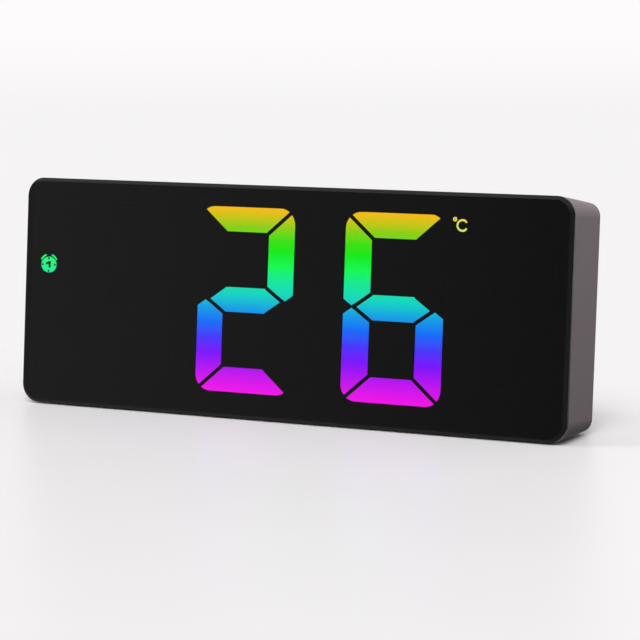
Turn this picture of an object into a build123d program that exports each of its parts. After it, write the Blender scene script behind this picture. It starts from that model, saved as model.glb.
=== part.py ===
from build123d import *
import os
from math import atan2, cos, degrees, hypot, pi, radians, sin, sqrt, tan

# A digital LED desk clock that stands on its long edge: a smoked window over a bar display,
# a moulded housing, a screwed rear cover with a battery bay, five keys and a power inlet.
# The case narrows towards the rear, and stands on its sloped base, so the front leans back.
# Lengths are millimetres. X runs to the reader's right, Z up, and Y from the front to the rear.
# Each piece is drawn upright, from the middle of the front face, and turned to its stance when it
# is saved. The origin then lies on the table under the middle of the clock.

os.makedirs("parts", exist_ok=True)

# Display layout, as seen from the front
digit_height = 51.6
digit_width = 30.0
outer_digit_width = 24.25
digit_gap = 6.8
colon_gap = 15.8
upright_bar = 7.95
level_bar = 6.8
bar_gap = 1.2
digit_corner = 4.6
waist_notch = 3.0
digit_rise = 0.4
colon_dot_diameter = 5.0
colon_spread = 18.0
icon_width = 5.1
icon_height = 4.5
icon_rise = 7.45
icon_margin = 2.1
icon_to_digit = 16.55
bell_stroke = 0.4
bell_gap = 0.2
bell_sweep = 36.0
bell_lean = 40.0
degree_diameter = 1.15
degree_gap = 1.9
degree_drop = 0.325
letter_height = 3.35
letter_stroke = 0.45
letter_gap = 3.0
letter_drop = 0.825
letter_mouth = 80.0
right_margin = 3.25
mask_border = 1.6
lit_bars = ["", "abged", "afgecd", ""]

# Layers from the front face to the rear face
window_thickness = 2.0
window_bevel = 1.0
mask_clearance = 0.2
mask_thickness = 0.3
reflector_depth = 4.6
board_thickness = 1.2
board_clearance = 0.6
bay_floor = 1.0
cell_clearance = 0.2
cell_diameter = 10.5
door_clearance = 0.7
door_thickness = 1.7

# Housing, with the angle by which its walls slope inwards to the rear and by which it leans back
lean = 4.3
wall = 1.8
corner_radius = 5.3
ledge_height = 3.0
ledge_width = 0.7
ledge_thickness = 1.8
display_fit = 0.3
rear_round = 0.6
front_bevel = 0.3
rim_width = 0.9
tape_thickness = 0.25
tape_fit = 0.1
boss_radius = 2.6
boss_inset = 3.1
display_corner = 10.0
rib_length = 12.0
rib_height = 2.2
rib_end_gap = 24.0
foot_length = 10.0
foot_width = 16.0
foot_corner = 4.0
foot_thickness = 0.9
foot_proud = 0.4
foot_end_gap = 10.0
foot_fit = 0.1

# Rear cover
cover_thickness = 2.0
cover_lip = 0.9
cover_fit = 0.1
frame_wall = 2.0
bay_wall = 1.5
bay_side_gap = 20.0
bay_rise = 2.5
post_radius = 2.2
post_gap = 0.1
vent_length = 9.0
vent_width = 1.2
vent_pitch = 2.6
vent_count = 3
sound_hole_diameter = 1.6
sound_ring_radius = 3.4
sound_hole_count = 6
inlet_length = 12.6
inlet_height = 7.0
inlet_corner = 2.2

# Battery door
door_ledge = 2.0
door_fit = 0.2
door_seat = 0.05
door_corner = 1.5
hook_width = 6.0
hook_thickness = 1.1
hook_reach = 1.0
hook_root = 3.0
hook_fit = 0.2
hook_place_share = 0.3
latch_width = 10.0
latch_strip = 0.9
latch_bend = 0.8
latch_depth = 3.6
latch_inset = 0.15
nose_height = 1.0
nose_length = 1.2
nose_gap = 0.2
nose_grip = 0.55
pad_drop = 0.6
pocket_fit = 0.5
pocket_wall = 1.2
door_rib_height = 0.5
door_rib_width = 1.0
grip_count = 3
grip_width = 0.8
grip_pitch = 2.0
grip_height = 0.3
grip_edge_gap = 3.0

# Cells and contacts
cell_length = 44.5
cell_gap = 0.5
cell_count = 3
nub_diameter = 3.8
nub_length = 0.8
cell_round = 0.5
spring_height = 4.6
spring_wire = 0.6
spring_base_radius = 3.3
spring_tip_radius = 2.3
spring_turns = 3
spring_seat_gap = 0.05
turn_steps = 24
plate_thickness = 0.4
plate_width = 8.6
plate_height = 9.0
lug_height = 4.0
lug_width = 3.0
lug_fit = 0.1
lead_diameter = 1.2
lead_run = 1.6
lead_bend = 3.6

# Circuit board and what it carries
board_margin = 0.9
board_fit = 0.5
pilot_diameter = 1.7
screw_hole_diameter = 2.2
screw_shank_diameter = 1.6
screw_head_diameter = 3.4
screw_head_height = 1.1
screw_head_bevel = 0.5
screw_cross_width = 0.5
screw_cross_depth = 0.7
board_screw_grip = 3.0
board_screw_rise = 20.0
board_screw_side = 13.0
cover_screw_grip = 8.0
pilot_spare = 1.0
head_fit = 0.2
led_length = 2.0
led_width = 1.3
led_height = 0.8
led_room = 0.4
led_spread_share = 0.22
bar_fit = 0.1
chip_length = 17.9
chip_width = 7.5
chip_height = 2.3
chip_round = 0.3
chip_lead_pitch = 1.27
chip_lead_count = 14
chip_lead_width = 0.42
chip_lead_thickness = 0.25
chip_lead_reach = 1.4
chip_lead_foot = 0.7
crystal_diameter = 2.0
crystal_length = 6.2
crystal_lead = 0.4
crystal_lead_length = 1.6
crystal_lead_gap = 0.7
capacitor_diameter = 6.3
capacitor_height = 7.7
capacitor_groove = 0.35
capacitor_groove_rise = 1.6
buzzer_diameter = 12.0
buzzer_height = 8.5
buzzer_port_diameter = 2.2
buzzer_port_depth = 1.5
buzzer_round = 0.6
sensor_diameter = 2.4
sensor_leg_diameter = 0.5
sensor_leg_length = 6.0
sensor_leg_pitch = 1.4
switch_size = 6.0
switch_body_height = 3.5
switch_total_height = 9.5
switch_round = 0.3
plunger_diameter = 3.4
plunger_fit = 0.1
plunger_foot = 0.6
inlet_shell_length = 8.94
inlet_shell_height = 3.26
inlet_shell_corner = 1.5
inlet_shell_wall = 0.3
inlet_setback = 2.2
tongue_length = 6.7
tongue_height = 0.7
tongue_reach = 5.2
tongue_setback = 0.8
tongue_fit = 0.05

# Keys
key_names = ["mode", "set", "up", "down", "alarm"]
key_length = 8.5
key_width = 5.0
key_fit = 0.2
key_proud = 1.0
key_round = 0.5
key_pitch = 12.5
key_side_gap = 12.7
key_drop = 13.7
key_flange = 1.1
key_flange_thickness = 1.2
key_seat_gap = 0.1
key_stem_diameter = 4.0
key_stem_gap = 0.05
key_travel = 0.6

# Places of the parts on the board, from the inner right wall and the inner bottom wall
chip_side_gap = 59.7
chip_floor_gap = 21.7
crystal_floor_gap = 11.7
buzzer_side_gap = 38.7
buzzer_floor_gap = 21.7
inlet_side_gap = 17.7
inlet_floor_gap = 19.7
capacitor_side_gap = 5.2
capacitor_floor_gap = 19.7
sensor_side_gap = 5.2
sensor_floor_gap = 33.0
mid_post_gap = 7.0

# One overrun for every cut that has to pass a face
over = 1.0

# Sizes worked out from the ones above
display_width = (
    icon_margin + icon_width + icon_to_digit + 2 * outer_digit_width + 2 * digit_width
    + 2 * digit_gap + colon_gap + right_margin
)
display_height = digit_height + 2 * mask_border
opening_width = display_width + 2 * display_fit
opening_height = display_height + 2 * display_fit
inner_width = opening_width + 2 * ledge_width
inner_height = opening_height + 2 * ledge_height
inner_radius = corner_radius - wall
clock_width = inner_width + 2 * wall
clock_height = inner_height + 2 * wall
mask_front = window_thickness + mask_clearance
reflector_front = mask_front + mask_thickness
board_front = reflector_front + reflector_depth
board_back = board_front + board_thickness
bay_outer = board_back + board_clearance
bay_inner = bay_outer + bay_floor
cell_axis = bay_inner + cell_clearance + cell_diameter / 2
door_inner = bay_inner + cell_clearance + cell_diameter + door_clearance
clock_depth = door_inner + door_thickness
cover_inner = clock_depth - cover_thickness
ledge_back = window_thickness + ledge_thickness
draft_share = tan(radians(lean))
rear_draft = (clock_depth - window_thickness) * draft_share
ledge_draft = ledge_thickness * draft_share
rear_width = clock_width - 2 * rear_draft
rear_height = clock_height - 2 * rear_draft
rear_radius = corner_radius - rear_draft
right_wall = inner_width / 2
bottom_wall = -inner_height / 2

# Display columns, from the left edge of the display to its right edge
icon_x = -display_width / 2 + icon_margin + icon_width / 2
first_digit_left = icon_x + icon_width / 2 + icon_to_digit
second_digit_left = first_digit_left + outer_digit_width + digit_gap
third_digit_left = second_digit_left + digit_width + colon_gap
fourth_digit_left = third_digit_left + digit_width + digit_gap
digit_columns = [
    (first_digit_left + outer_digit_width / 2, outer_digit_width),
    (second_digit_left + digit_width / 2, digit_width),
    (third_digit_left + digit_width / 2, digit_width),
    (fourth_digit_left + outer_digit_width / 2, outer_digit_width),
]
colon_x = third_digit_left - colon_gap / 2
digit_top = digit_rise + digit_height / 2
unit_left = third_digit_left + digit_width
degree_place = (
    unit_left + degree_gap + degree_diameter / 2,
    digit_top - degree_drop - degree_diameter / 2,
)
letter_place = (
    unit_left + letter_gap + letter_height / 2,
    digit_top - letter_drop - letter_height / 2,
)

# Battery bay and door, with the door hinged at its upper edge
bay_length = cell_length + spring_height + 2 * plate_thickness
bay_height = cell_count * cell_diameter + (cell_count + 1) * cell_gap
door_length = bay_length + 2 * door_ledge
door_height = bay_height + 2 * door_ledge
recess_length = door_length + 2 * door_fit
recess_height = door_height + 2 * door_fit
frame_length = recess_length + 2 * frame_wall
frame_height = recess_height + 2 * frame_wall
bay_x = -right_wall + bay_side_gap + frame_length / 2
bay_z = bay_rise
door_top = bay_z + door_height / 2
door_bottom = bay_z - door_height / 2
frame_inner = door_inner - bay_wall
hinge_depth = clock_depth - door_thickness / 2
hinge_z = door_top - door_thickness / 2
hook_outer = cover_inner + cover_thickness / 2 - hook_fit * 2
hook_swing = hypot(hinge_depth - hook_outer + hook_thickness, hook_reach + door_thickness / 2)
hook_places = [bay_x - hook_place_share * door_length, bay_x + hook_place_share * door_length]
latch_z = door_bottom + latch_inset + latch_strip / 2
latch_return_z = latch_z - 2 * latch_bend - latch_strip
latch_edge = latch_return_z - latch_strip / 2
pocket_edge = latch_edge - nose_height + nose_grip
pocket_bottom = latch_edge - nose_height - pocket_fit
pocket_inner = door_inner - latch_depth - pocket_fit
pocket_width = latch_width + 2 * pocket_fit
cell_pitch = cell_diameter + cell_gap
cell_rows = [bay_z + cell_pitch * (row - (cell_count - 1) / 2) for row in range(cell_count)]
bay_left = bay_x - bay_length / 2
bay_right = bay_x + bay_length / 2

# Places on the rear, in X and in Z from mid height
corner_places = [
    (side * (right_wall - boss_inset), level * (inner_height / 2 - boss_inset))
    for side in (-1, 1)
    for level in (-1, 1)
]
key_z = inner_height / 2 - key_drop
key_right = right_wall - key_side_gap
key_columns = [key_right - key_pitch * place for place in reversed(range(len(key_names)))]
chip_place = (right_wall - chip_side_gap, bottom_wall + chip_floor_gap)
crystal_place = (right_wall - chip_side_gap, bottom_wall + crystal_floor_gap)
buzzer_place = (right_wall - buzzer_side_gap, bottom_wall + buzzer_floor_gap)
inlet_place = (right_wall - inlet_side_gap, bottom_wall + inlet_floor_gap)
capacitor_place = (right_wall - capacitor_side_gap, bottom_wall + capacitor_floor_gap)
sensor_place = (right_wall - sensor_side_gap, bottom_wall + sensor_floor_gap)
board_screw_left = -right_wall + board_screw_side
board_screw_right = unit_left + digit_gap / 2
board_screw_places = [
    (board_screw_left, board_screw_rise),
    (board_screw_left, -board_screw_rise),
    (colon_x, board_screw_rise),
    (colon_x, -board_screw_rise),
    (board_screw_right, -board_screw_rise),
]
post_places = [
    (-right_wall + bay_side_gap / 2, bay_z),
    (bay_x + frame_length / 2 + mid_post_gap, bay_z),
]

# The stance: leant back until the sloped base is level, on its feet, with the origin under the middle
lean_cos = cos(radians(lean))
lean_sin = sin(radians(lean))
front_reach = -(clock_height / 2 - window_bevel) * lean_sin
key_edge = key_z + key_width / 2 - key_round
rear_reach = (clock_depth + key_proud - key_round) * lean_cos + key_edge * lean_sin + key_round
stance_rise = foot_proud + clock_height / 2 * lean_cos + window_thickness * lean_sin
stance = Location((0, -(front_reach + rear_reach) / 2, stance_rise), (-lean, 0, 0))
ground = Plane(stance.inverse())
base_middle = Location((0, (window_thickness + clock_depth) / 2, (rear_draft - clock_height) / 2))
foot_y = (stance * base_middle).position.Y


def at_depth(depth):
    """A plane parallel to the front face and this far behind it, which faces the reader."""
    return Plane(origin=(0, depth, 0), x_dir=(1, 0, 0), z_dir=(0, -1, 0))


def facing_rear(depth, places):
    """Locations at this depth, one for each place in X and Z, which face the rear."""
    planes = [Plane(origin=(x, depth, z), x_dir=(-1, 0, 0), z_dir=(0, 1, 0)) for x, z in places]
    return [plane.location for plane in planes]


def side_plane(x):
    """A plane across the clock at this X, with local x to the rear and local y up."""
    return Plane(origin=(x, 0, 0), x_dir=(0, 1, 0), z_dir=(1, 0, 0))


def save(piece, name):
    """Turn a finished piece to its stance, label it and write it to a file of its own."""
    placed = piece.part.moved(stance)
    placed.label = name
    export_step(placed, f"parts/{name}.step")


def digit_bars(width):
    """The seven bars of a digit, centred on the origin, as a sketch of seven faces."""
    half_width = width / 2
    half_height = digit_height / 2
    counter_width = width - 2 * upright_bar
    counter_height = (digit_height - 3 * level_bar) / 2
    corner_diagonal = hypot(upright_bar, level_bar)
    corner_angle = degrees(atan2(level_bar, upright_bar))
    waist_x = half_width - waist_notch
    waist_run = upright_bar - waist_notch
    waist_diagonal = hypot(waist_run, level_bar / 2)
    waist_angle = degrees(atan2(level_bar / 2, waist_run))
    notch_height = (waist_notch + over) * tan(radians(waist_angle))
    with BuildSketch() as bars:
        RectangleRounded(width, digit_height, digit_corner)
        with Locations((0, (counter_height + level_bar) / 2), (0, -(counter_height + level_bar) / 2)):
            Rectangle(counter_width, counter_height, mode=Mode.SUBTRACT)
        for side in (-1, 1):
            for level in (-1, 1):
                turn = side * level
                corner = (side * (half_width - upright_bar / 2), level * (half_height - level_bar / 2))
                waist = (side * (waist_x - waist_run / 2), level * level_bar / 4)
                with Locations(Location(corner, turn * corner_angle)):
                    Rectangle(corner_diagonal + bar_gap, bar_gap, mode=Mode.SUBTRACT)
                with Locations(Location(waist, -turn * waist_angle)):
                    Rectangle(waist_diagonal + bar_gap, bar_gap, mode=Mode.SUBTRACT)
            outer_x = side * (half_width + over)
            Polygon(
                (side * waist_x, 0), (outer_x, notch_height), (outer_x, -notch_height),
                align=None, mode=Mode.SUBTRACT,
            )
    return bars.sketch


def bar_letter(bar):
    """The usual letter of a bar, from where its middle lies in the digit."""
    middle = bar.center()
    if abs(middle.X) < bar_gap:
        if abs(middle.Y) < level_bar:
            return "g"
        return "a" if middle.Y > 0 else "d"
    if middle.X > 0:
        return "b" if middle.Y > 0 else "c"
    return "f" if middle.Y > 0 else "e"


# Outlines of everything that can light up, in X and in Z from mid height
lit_faces = [[], []]
unlit_faces = []
for (column, width), lit in zip(digit_columns, lit_bars):
    for bar in digit_bars(width).faces():
        placed = bar.moved(Location((column, digit_rise, 0)))
        if bar_letter(bar) in lit:
            lit_faces[lit_bars.index(lit) - 1].append(placed)
        else:
            unlit_faces.append(placed)

with BuildSketch() as colon_outline:
    with Locations((colon_x, digit_rise + colon_spread / 2), (colon_x, digit_rise - colon_spread / 2)):
        Circle(colon_dot_diameter / 2)

bell_radius = icon_width / 2 + bell_gap + bell_stroke / 2
with BuildSketch() as bell_outlines:
    for bell_middle in (90 - bell_lean, 90 + bell_lean):
        with BuildLine(mode=Mode.PRIVATE) as bell_line:
            CenterArc((icon_x, icon_rise), bell_radius, bell_middle - bell_sweep / 2, bell_sweep)
        SlotArc(bell_line.line.edges()[0], bell_stroke)

with BuildSketch() as icon_outline:
    with Locations((icon_x, icon_rise)):
        Ellipse(icon_width / 2, icon_height / 2)
    add(bell_outlines.sketch)

with BuildSketch() as unit_outline:
    with Locations(degree_place):
        Circle(degree_diameter / 2)
    with BuildLine(mode=Mode.PRIVATE) as letter_line:
        CenterArc(letter_place, (letter_height - letter_stroke) / 2, letter_mouth / 2, 360 - letter_mouth)
    SlotArc(letter_line.line.edges()[0], letter_stroke)

light_groups = {
    "lit_tens_bars": lit_faces[0],
    "lit_units_bars": lit_faces[1],
    "unlit_bars": unlit_faces,
    "colon_dots": colon_outline.sketch.faces(),
    "alarm_icon": icon_outline.sketch.faces(),
    "unit_mark": unit_outline.sketch.faces(),
}

# Every outline widened by the fit, for the openings that the light bars stand in
with BuildSketch() as light_openings:
    for name, faces in light_groups.items():
        add(bell_outlines.sketch.faces() if name == "alarm_icon" else faces)
    offset(amount=bar_fit, kind=Kind.INTERSECTION)
    with Locations((icon_x, icon_rise)):
        Ellipse(icon_width / 2 + bar_fit, icon_height / 2 + bar_fit)

# Places of the light-emitting chips: two behind each bar and one behind each dot or mark
led_places = [(colon_x, digit_rise + colon_spread / 2), (colon_x, digit_rise - colon_spread / 2)]
led_places += [(icon_x, icon_rise), letter_place]
for bar in lit_faces[0] + lit_faces[1] + unlit_faces:
    size = bar.bounding_box().size
    middle = bar.center(CenterOf.BOUNDING_BOX)
    spread_x = led_spread_share * size.X if size.X > size.Y else 0
    spread_z = 0 if size.X > size.Y else led_spread_share * size.Y
    led_places += [(middle.X + way * spread_x, middle.Y + way * spread_z) for way in (-1, 1)]

# Front window: smoked acrylic sheet with a bevelled front edge
with BuildPart() as front_window:
    with BuildSketch(at_depth(window_thickness)):
        RectangleRounded(clock_width, clock_height, corner_radius)
    extrude(amount=window_thickness)
    chamfer(front_window.faces().sort_by(Axis.Y)[0].edges(), length=window_bevel)
save(front_window, "front_window")

# Adhesive tape ring between the window and the ledge of the housing
tape_width = clock_width - 2 * rim_width
tape_height = clock_height - 2 * rim_width
tape_radius = corner_radius - rim_width
with BuildPart() as window_tape:
    with BuildSketch(at_depth(window_thickness + tape_thickness)):
        RectangleRounded(tape_width - 2 * tape_fit, tape_height - 2 * tape_fit, tape_radius - tape_fit)
        RectangleRounded(opening_width, opening_height, display_corner + display_fit, mode=Mode.SUBTRACT)
    extrude(amount=tape_thickness)
save(window_tape, "window_tape")

# Housing: the four side walls, the window ledge, the corner bosses and the board ribs
rib_places = [
    (side * (right_wall - rib_end_gap - rib_length / 2), level * (inner_height / 2 - rib_height / 2))
    for side in (-1, 1)
    for level in (-1, 1)
]
cavity_width = inner_width - 2 * ledge_draft
cavity_height = inner_height - 2 * ledge_draft
lip_width = rear_width - 2 * cover_lip
lip_height = rear_height - 2 * cover_lip
lip_radius = rear_radius - cover_lip
foot_x = clock_width / 2 - foot_end_gap - foot_length / 2
foot_places = [(-foot_x, foot_y), (foot_x, foot_y)]
with BuildPart() as front_housing:
    with BuildSketch(*facing_rear(window_thickness, [(0, 0)])):
        RectangleRounded(clock_width, clock_height, corner_radius)
    extrude(amount=clock_depth - window_thickness, taper=lean)
    fillet(front_housing.faces().sort_by(Axis.Y)[-1].edges(), radius=rear_round)
    chamfer(front_housing.faces().sort_by(Axis.Y)[0].edges(), length=front_bevel)
    with BuildSketch(*facing_rear(ledge_back, [(0, 0)])):
        RectangleRounded(cavity_width, cavity_height, inner_radius - ledge_draft)
    extrude(amount=clock_depth - ledge_back, taper=lean, mode=Mode.SUBTRACT)
    with BuildSketch(at_depth(clock_depth)):
        RectangleRounded(lip_width, lip_height, lip_radius)
    extrude(amount=cover_thickness, mode=Mode.SUBTRACT)
    with BuildSketch(at_depth(ledge_back)):
        RectangleRounded(opening_width, opening_height, display_corner + display_fit)
    extrude(amount=ledge_thickness, mode=Mode.SUBTRACT)
    with BuildSketch(at_depth(window_thickness + tape_thickness)):
        RectangleRounded(tape_width, tape_height, tape_radius)
    extrude(amount=tape_thickness, mode=Mode.SUBTRACT)
    with BuildSketch(at_depth(cover_inner)):
        with Locations(*corner_places):
            Circle(boss_radius)
    extrude(amount=cover_inner - ledge_back)
    with BuildSketch(at_depth(board_front)):
        with Locations(*rib_places):
            Rectangle(rib_length, rib_height)
    extrude(amount=board_front - ledge_back)
    with Locations(*facing_rear(cover_inner, corner_places)):
        Hole(pilot_diameter / 2, depth=cover_screw_grip + pilot_spare)
    with BuildSketch(ground.offset(foot_proud)):
        with Locations(*foot_places):
            RectangleRounded(foot_length, foot_width, foot_corner)
    extrude(amount=foot_thickness - foot_proud, mode=Mode.SUBTRACT)
save(front_housing, "front_housing")

# Rubber feet, stuck in shallow pockets under the housing
with BuildPart() as rubber_feet:
    with BuildSketch(ground):
        with Locations(*foot_places):
            RectangleRounded(foot_length - 2 * foot_fit, foot_width - 2 * foot_fit, foot_corner - foot_fit)
    extrude(amount=foot_thickness)
save(rubber_feet, "rubber_feet")

# Black mask sheet on the front of the reflector, open where a bar can light
with BuildPart() as display_mask:
    with BuildSketch(at_depth(reflector_front)):
        RectangleRounded(display_width, display_height, display_corner)
        add(light_openings.sketch, mode=Mode.SUBTRACT)
    extrude(amount=mask_thickness)
save(display_mask, "display_mask")

# White reflector block with one light shaft for each bar, screwed to the board from behind
with BuildPart() as reflector_block:
    with BuildSketch(at_depth(board_front)):
        RectangleRounded(display_width, display_height, display_corner)
        add(light_openings.sketch, mode=Mode.SUBTRACT)
    extrude(amount=reflector_depth)
    with BuildSketch(at_depth(board_front)):
        with Locations(*led_places):
            Rectangle(led_length + 2 * bar_fit, led_width + 2 * bar_fit)
    extrude(amount=led_height + led_room, mode=Mode.SUBTRACT)
    with Locations(*facing_rear(board_front, board_screw_places)):
        Hole(pilot_diameter / 2, depth=board_screw_grip + pilot_spare)
save(reflector_block, "reflector_block")

# Translucent light bars, which fill the shafts and end flush with the mask
bar_back = board_front - led_height - led_room
for name, faces in light_groups.items():
    with BuildPart() as light_bars:
        with BuildSketch(at_depth(bar_back)):
            add(faces)
        extrude(amount=bar_back - mask_front)
    save(light_bars, name)

# Light-emitting chips on the front of the board
with BuildPart() as light_chips:
    with BuildSketch(at_depth(board_front)):
        with Locations(*led_places):
            Rectangle(led_length, led_width)
    extrude(amount=led_height)
save(light_chips, "light_chips")

# Circuit board, cut away at the corners for the bosses of the housing
with BuildPart() as main_board:
    with BuildSketch(at_depth(board_back)):
        Rectangle(inner_width - 2 * board_margin, inner_height - 2 * board_margin)
        with Locations(*corner_places):
            Rectangle(2 * (boss_radius + board_fit), 2 * (boss_radius + board_fit), mode=Mode.SUBTRACT)
        with Locations(*board_screw_places):
            Circle(screw_hole_diameter / 2, mode=Mode.SUBTRACT)
    extrude(amount=board_thickness)
save(main_board, "main_board")

# Controller chip with two rows of bent leads that stand on the board
lead_step = chip_lead_reach - chip_lead_foot
lead_depth = board_back + chip_height / 2
lead_top = lead_depth + chip_lead_thickness / 2
lead_planes = [
    side_plane(chip_place[0] + chip_lead_pitch * (lead - (chip_lead_count - 1) / 2) - chip_lead_width / 2)
    for lead in range(chip_lead_count)
]
with BuildPart() as controller_chip:
    with BuildSketch(at_depth(board_back + chip_lead_thickness)):
        with Locations(chip_place):
            Rectangle(chip_length, chip_width)
    extrude(amount=chip_lead_thickness - chip_height)
    chamfer(controller_chip.faces().sort_by(Axis.Y)[-1].edges(), length=chip_round)
    with BuildSketch(*lead_planes):
        for level in (-1, 1):
            edge = chip_place[1] + level * chip_width / 2
            riser_z = edge + level * (lead_step - chip_lead_thickness / 2)
            foot_z = edge + level * (lead_step + chip_lead_foot / 2)
            with Locations((lead_depth, edge + level * lead_step / 2)):
                Rectangle(chip_lead_thickness, lead_step)
            with Locations(((board_back + lead_top) / 2, riser_z)):
                Rectangle(lead_top - board_back, chip_lead_thickness)
            with Locations((board_back + chip_lead_thickness / 2, foot_z)):
                Rectangle(chip_lead_thickness, chip_lead_foot)
    extrude(amount=chip_lead_width)
save(controller_chip, "controller_chip")

# Watch crystal: a small can that lies on the board, with its two leads bent down
crystal_end = crystal_place[0] + crystal_length / 2
crystal_depth = board_back + crystal_diameter / 2
with BuildPart() as clock_crystal:
    with BuildSketch(side_plane(crystal_end - crystal_length)):
        with Locations((crystal_depth, crystal_place[1])):
            Circle(crystal_diameter / 2)
    extrude(amount=crystal_length)
    with BuildSketch(side_plane(crystal_end)):
        for level in (-1, 1):
            with Locations((crystal_depth, crystal_place[1] + level * crystal_lead_gap / 2)):
                Rectangle(crystal_lead, crystal_lead)
    extrude(amount=crystal_lead_length)
    with BuildSketch(at_depth(board_back)):
        for level in (-1, 1):
            lead_x = crystal_end + crystal_lead_length - crystal_lead / 2
            with Locations((lead_x, crystal_place[1] + level * crystal_lead_gap / 2)):
                Rectangle(crystal_lead, crystal_lead)
    extrude(amount=-crystal_diameter / 2)
save(clock_crystal, "clock_crystal")

# Supply capacitor: a can with the groove that crimps it onto its seal
capacitor_axis = Axis((capacitor_place[0], 0, capacitor_place[1]), (0, 1, 0))
capacitor_plane = Plane(
    origin=(capacitor_place[0], board_back, capacitor_place[1]),
    x_dir=(1, 0, 0),
    z_dir=(0, 0, 1),
)
with BuildPart() as supply_capacitor:
    with BuildSketch(capacitor_plane):
        with BuildLine():
            Polyline(
                (0, 0),
                (capacitor_diameter / 2, 0),
                (capacitor_diameter / 2, capacitor_groove_rise - capacitor_groove),
                (capacitor_diameter / 2 - capacitor_groove, capacitor_groove_rise),
                (capacitor_diameter / 2, capacitor_groove_rise + capacitor_groove),
                (capacitor_diameter / 2, capacitor_height - capacitor_groove),
                (capacitor_diameter / 2 - capacitor_groove, capacitor_height),
                (0, capacitor_height),
                close=True,
            )
        make_face()
    revolve(axis=capacitor_axis)
save(supply_capacitor, "supply_capacitor")

# Alarm buzzer with its sound port under the holes of the rear cover
with BuildPart() as buzzer:
    with BuildSketch(at_depth(board_back)):
        with Locations(buzzer_place):
            Circle(buzzer_diameter / 2)
    extrude(amount=-buzzer_height)
    fillet(buzzer.faces().sort_by(Axis.Y)[-1].edges(), radius=buzzer_round)
    with Locations(*facing_rear(board_back + buzzer_height, [buzzer_place])):
        Hole(buzzer_port_diameter / 2, depth=buzzer_port_depth)
save(buzzer, "buzzer")

# Temperature sensor: a resin bead on two legs, under the vents of the rear cover
with BuildPart() as temperature_sensor:
    with Locations((sensor_place[0], board_back + sensor_leg_length, sensor_place[1])):
        Sphere(sensor_diameter / 2)
    with BuildSketch(at_depth(board_back)):
        for side in (-1, 1):
            with Locations((sensor_place[0] + side * sensor_leg_pitch / 2, sensor_place[1])):
                Circle(sensor_leg_diameter / 2)
    extrude(amount=-sensor_leg_length)
save(temperature_sensor, "temperature_sensor")

# Push switches on the board, one under each key, with a bore for the plunger
key_places = [(column, key_z) for column in key_columns]
switch_top = board_back + switch_body_height
with BuildPart() as switch_bodies:
    with BuildSketch(at_depth(board_back)):
        with Locations(*key_places):
            RectangleRounded(switch_size, switch_size, switch_round)
    extrude(amount=-switch_body_height)
    with Locations(*facing_rear(switch_top, key_places)):
        Hole(plunger_diameter / 2 + plunger_fit, depth=plunger_foot + key_travel + plunger_fit)
save(switch_bodies, "switch_bodies")

# Keys and the switch plungers that they press: cap, retaining flange and stem in one moulding
plunger_top = board_back + switch_total_height
flange_rear = cover_inner - key_seat_gap
flange_front = flange_rear - key_flange_thickness
for name, place in zip(key_names, key_places):
    with BuildPart() as key:
        with BuildSketch(at_depth(flange_rear)):
            with Locations(place):
                SlotOverall(key_length + 2 * key_flange, key_width + 2 * key_flange)
        extrude(amount=key_flange_thickness)
        with BuildSketch(at_depth(flange_rear)):
            with Locations(place):
                SlotOverall(key_length, key_width)
        extrude(amount=flange_rear - clock_depth - key_proud)
        fillet(key.faces().sort_by(Axis.Y)[-1].edges(), radius=key_round)
        with BuildSketch(at_depth(flange_front)):
            with Locations(place):
                Circle(key_stem_diameter / 2)
        extrude(amount=flange_front - plunger_top - key_stem_gap)
    save(key, f"key_{name}")
    with BuildPart() as plunger:
        with BuildSketch(at_depth(switch_top - plunger_foot)):
            with Locations(place):
                Circle(plunger_diameter / 2)
        extrude(amount=switch_top - plunger_foot - plunger_top)
    save(plunger, f"plunger_{name}")

# Power inlet: a drawn steel shell that stands on the board, round a moulded block with a tongue
inlet_mouth = cover_inner - inlet_setback
bore_length = inlet_shell_length - 2 * inlet_shell_wall
bore_height = inlet_shell_height - 2 * inlet_shell_wall
bore_corner = inlet_shell_corner - inlet_shell_wall
block_length = bore_length - 2 * tongue_fit
block_height = bore_height - 2 * tongue_fit
tongue_root = inlet_mouth - tongue_setback - tongue_reach
with BuildPart() as inlet_shell:
    with BuildSketch(at_depth(board_back)):
        with Locations(inlet_place):
            RectangleRounded(inlet_shell_length, inlet_shell_height, inlet_shell_corner)
            RectangleRounded(bore_length, bore_height, bore_corner, mode=Mode.SUBTRACT)
    extrude(amount=board_back - inlet_mouth)
save(inlet_shell, "inlet_shell")

with BuildPart() as inlet_tongue:
    with BuildSketch(at_depth(board_back)):
        with Locations(inlet_place):
            RectangleRounded(block_length, block_height, bore_corner - tongue_fit)
    extrude(amount=board_back - tongue_root)
    with BuildSketch(at_depth(tongue_root)):
        with Locations(inlet_place):
            Rectangle(tongue_length, tongue_height)
    extrude(amount=-tongue_reach)
save(inlet_tongue, "inlet_tongue")

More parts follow.
